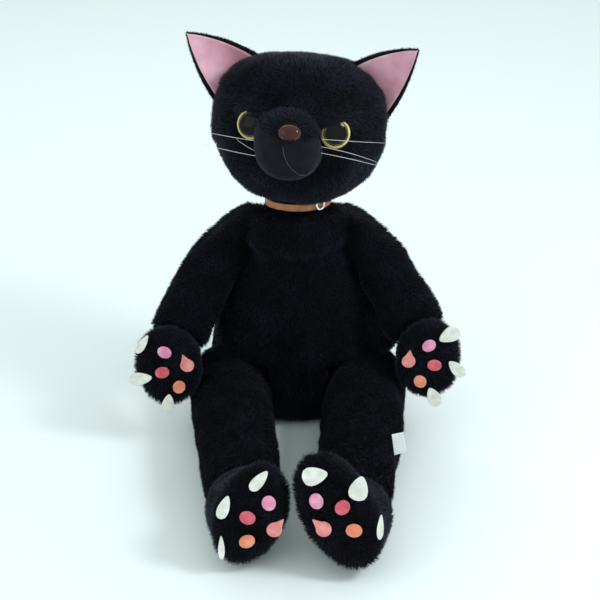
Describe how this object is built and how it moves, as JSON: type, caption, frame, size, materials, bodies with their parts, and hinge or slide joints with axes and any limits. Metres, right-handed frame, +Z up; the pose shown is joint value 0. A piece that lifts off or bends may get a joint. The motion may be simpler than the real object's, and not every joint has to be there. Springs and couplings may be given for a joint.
{
  "type": "plush cat",
  "caption": "Seated stuffed plush cat with large satin-lined ears, glossy safety eyes, limp arms and legs, felt claws and paw pads, a collar and a tail.",
  "frame": {"origin": "on the flat seat under the neck, where the torso rests", "axes": "+Z up, the cat faces -Y, its own left side is +X"},
  "size_m": [0.2935, 0.4994, 0.3561],
  "materials": {
    "black_plush": "medium-pile plush",
    "black_velour": "short velour",
    "stuffing": "fibre fill",
    "pink_satin": "satin",
    "eye": "gloss",
    "nose": "gloss",
    "white_plastic": "matte",
    "tan_leather": "satin",
    "silver": "polished",
    "white_felt": "felt",
    "pad_salmon": "felt",
    "pad_pink": "felt",
    "pad_red": "felt",
    "pad_rose": "felt",
    "white_label": "woven tape"
  },
  "bodies": {
    "torso": {"torso_plush": "black_plush", "torso_stuffing": "stuffing"},
    "neck": {"neck_plush": "black_plush", "collar": "tan_leather", "collar_buckle": "silver"},
    "head": {"head_plush": "black_plush", "head_stuffing": "stuffing", "muzzle": "black_velour", "nose": "nose", "nose_washer": "white_plastic", "eye_left": "eye", "eye_right": "eye", "eye_washer_left": "white_plastic", "eye_washer_right": "white_plastic", "ear_left": "black_plush", "ear_right": "black_plush", "ear_lining_left": "pink_satin", "ear_lining_right": "pink_satin"},
    "tail": {"tail": "black_plush"},
    "shoulder_left": {"shoulder_left": "black_plush"},
    "arm_left": {"arm_left": "black_plush"},
    "hand_left": {"hand_claw_1_left": "white_felt", "hand_claw_2_left": "white_felt", "hand_claw_3_left": "white_felt", "hand_left": "black_plush", "hand_palm_pad_left": "pad_salmon", "hand_toe_pad_1_left": "pad_rose", "hand_toe_pad_2_left": "pad_red", "hand_toe_pad_3_left": "pad_pink"},
    "hip_left": {"hip_left": "black_plush"},
    "leg_left": {"leg_left": "black_plush", "label": "white_label"},
    "foot_left": {"foot_claw_1_left": "white_felt", "foot_claw_2_left": "white_felt", "foot_claw_3_left": "white_felt", "foot_left": "black_plush", "foot_palm_pad_left": "pad_salmon", "foot_toe_pad_1_left": "pad_rose", "foot_toe_pad_2_left": "pad_red", "foot_toe_pad_3_left": "pad_pink"},
    "shoulder_right": {"shoulder_right": "black_plush"},
    "arm_right": {"arm_right": "black_plush"},
    "hand_right": {"hand_claw_1_right": "white_felt", "hand_claw_2_right": "white_felt", "hand_claw_3_right": "white_felt", "hand_palm_pad_right": "pad_salmon", "hand_right": "black_plush", "hand_toe_pad_1_right": "pad_rose", "hand_toe_pad_2_right": "pad_red", "hand_toe_pad_3_right": "pad_pink"},
    "hip_right": {"hip_right": "black_plush"},
    "leg_right": {"leg_right": "black_plush"},
    "foot_right": {"foot_claw_1_right": "white_felt", "foot_claw_2_right": "white_felt", "foot_claw_3_right": "white_felt", "foot_palm_pad_right": "pad_salmon", "foot_right": "black_plush", "foot_toe_pad_1_right": "pad_rose", "foot_toe_pad_2_right": "pad_red", "foot_toe_pad_3_right": "pad_pink"}
  },
  "joints": [
    {"name": "neck_turn", "type": "hinge", "parent": "torso", "child": "neck", "pos_m": [0, -0.004, 0.207], "axis": [0, 0, 1], "range_deg": [-60, 60]},
    {"name": "head_nod", "type": "hinge", "parent": "neck", "child": "head", "pos_m": [0, -0.004, 0.207], "axis": [1, 0, 0], "range_deg": [-20, 0]},
    {"name": "shoulder_swing_left", "type": "hinge", "parent": "torso", "child": "shoulder_left", "pos_m": [0.052, 0, 0.179], "axis": [-1, 0, 0], "range_deg": [0, 100]},
    {"name": "arm_raise_left", "type": "hinge", "parent": "shoulder_left", "child": "arm_left", "pos_m": [0.052, 0, 0.179], "axis": [0, -1, 0], "range_deg": [0, 85]},
    {"name": "wrist_bend_left", "type": "hinge", "parent": "arm_left", "child": "hand_left", "pos_m": [0.114, -0.064, 0.084], "axis": [1, 0, 0], "range_deg": [0, 45]},
    {"name": "hip_splay_left", "type": "hinge", "parent": "torso", "child": "hip_left", "pos_m": [0.063, -0.04, 0.034], "axis": [0, 0, 1], "range_deg": [0, 10]},
    {"name": "leg_lift_left", "type": "hinge", "parent": "hip_left", "child": "leg_left", "pos_m": [0.063, -0.04, 0.034], "axis": [-1, 0, 0], "range_deg": [-85, 8]},
    {"name": "ankle_bend_left", "type": "hinge", "parent": "leg_left", "child": "foot_left", "pos_m": [0.0425, -0.243, 0.033], "axis": [-1, 0, 0], "range_deg": [-25, 12]},
    {"name": "shoulder_swing_right", "type": "hinge", "parent": "torso", "child": "shoulder_right", "pos_m": [-0.052, 0, 0.179], "axis": [-1, 0, 0], "range_deg": [0, 100]},
    {"name": "arm_raise_right", "type": "hinge", "parent": "shoulder_right", "child": "arm_right", "pos_m": [-0.052, 0, 0.179], "axis": [0, 1, 0], "range_deg": [0, 85]},
    {"name": "wrist_bend_right", "type": "hinge", "parent": "arm_right", "child": "hand_right", "pos_m": [-0.1125, -0.072, 0.082], "axis": [1, 0, 0], "range_deg": [0, 12]},
    {"name": "hip_splay_right", "type": "hinge", "parent": "torso", "child": "hip_right", "pos_m": [-0.063, -0.04, 0.034], "axis": [0, 0, -1], "range_deg": [0, 3]},
    {"name": "leg_lift_right", "type": "hinge", "parent": "hip_right", "child": "leg_right", "pos_m": [-0.063, -0.04, 0.034], "axis": [-1, 0, 0], "range_deg": [-85, 4]},
    {"name": "ankle_bend_right", "type": "hinge", "parent": "leg_right", "child": "foot_right", "pos_m": [-0.041, -0.232, 0.0333], "axis": [-1, 0, 0], "range_deg": [-25, 12]},
    {"name": "tail_swing", "type": "hinge", "parent": "torso", "child": "tail", "pos_m": [0, 0.0605, 0.012], "axis": [0, 0, 1], "range_deg": [-10, 38]}
  ]
}
